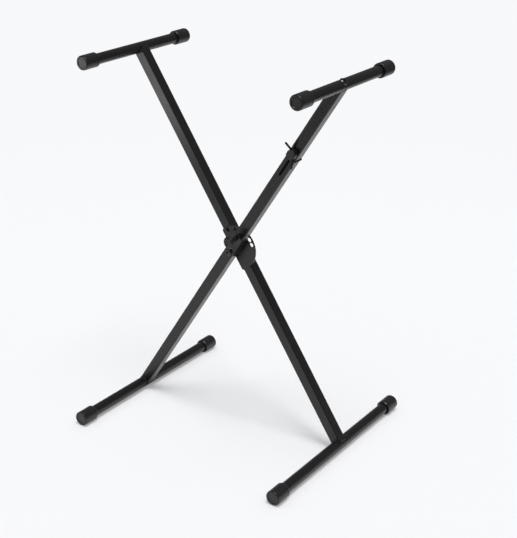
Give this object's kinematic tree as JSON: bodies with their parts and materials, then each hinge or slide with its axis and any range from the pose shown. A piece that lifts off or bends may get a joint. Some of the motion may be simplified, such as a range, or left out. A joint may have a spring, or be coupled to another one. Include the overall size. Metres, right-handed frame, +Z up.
{
  "type": "folding keyboard stand",
  "caption": "Folding single-X keyboard stand in black square tube, with a pin-locked pivot plate, a levelling top section and rubber-capped cross bars.",
  "frame": {"origin": "on the floor, midway between the foot bars and under the pivot", "axes": "+Z up, +X across the crossed arms towards the levelling arm's top bar, +Y along the cross bars away from the pull pin"},
  "size_m": [0.6646, 0.566, 0.9822],
  "materials": {
    "black_paint": "semi-gloss powder coat",
    "black_rubber": "matt moulded",
    "black_plastic": "satin moulded nylon",
    "bright_steel": "bright zinc plate",
    "black_steel": "black oxide"
  },
  "bodies": {
    "front_arm": {"front_arm_tube": "black_paint", "left_foot_bar": "black_paint", "left_foot_cap_front": "black_rubber", "left_foot_cap_back": "black_rubber", "slide_spigot": "bright_steel", "spigot_slot_weld": "black_paint", "joint_collar": "black_plastic", "front_pivot_sleeve": "bright_steel", "pivot_thrust_washer": "black_plastic", "pivot_head_washer": "black_steel", "pivot_nut_washer": "black_steel", "pivot_bolt": "black_steel", "pivot_lock_nut": "bright_steel", "pull_pin_housing": "black_steel", "pull_pin_spring": "bright_steel"},
    "rear_arm": {"rear_arm_tube": "black_paint", "left_top_bar": "black_paint", "left_top_cap_front": "black_rubber", "left_top_cap_back": "black_rubber", "right_foot_bar": "black_paint", "right_foot_cap_front": "black_rubber", "right_foot_cap_back": "black_rubber", "clutch_plate": "black_paint", "rear_pivot_sleeve": "bright_steel"},
    "upper_section": {"upper_arm_tube": "black_paint", "right_top_bar": "black_paint", "right_top_cap_front": "black_rubber", "right_top_cap_back": "black_rubber", "top_bar_plug": "bright_steel", "top_bar_bolt": "black_steel", "clamp_nut": "bright_steel"},
    "wing_screw": {"wing_screw_grip": "black_plastic", "wing_screw_stud": "bright_steel"},
    "pull_pin": {"pull_pin": "bright_steel", "pull_pin_knob": "black_plastic"}
  },
  "joints": [
    {"name": "fold", "type": "hinge", "parent": "front_arm", "child": "rear_arm", "pos_m": [0, 0, 0.49393], "axis": [0, -1, 0], "range_deg": [-61.4, 35.3]},
    {"name": "level_slide", "type": "slide", "parent": "front_arm", "child": "upper_section", "axis": [0.5505, 0, 0.8348], "range_m": [0, 0.05]},
    {"name": "wing_screw_turn", "type": "hinge", "parent": "upper_section", "child": "wing_screw", "pos_m": [0.19434, -0.0314, 0.78861], "axis": [0, -1, 0], "continuous": true},
    {"name": "pull_pin_slide", "type": "slide", "parent": "front_arm", "child": "pull_pin", "axis": [0, 1, 0], "range_m": [0, 0.005], "deforming": ["pull_pin_spring"]}
  ]
}
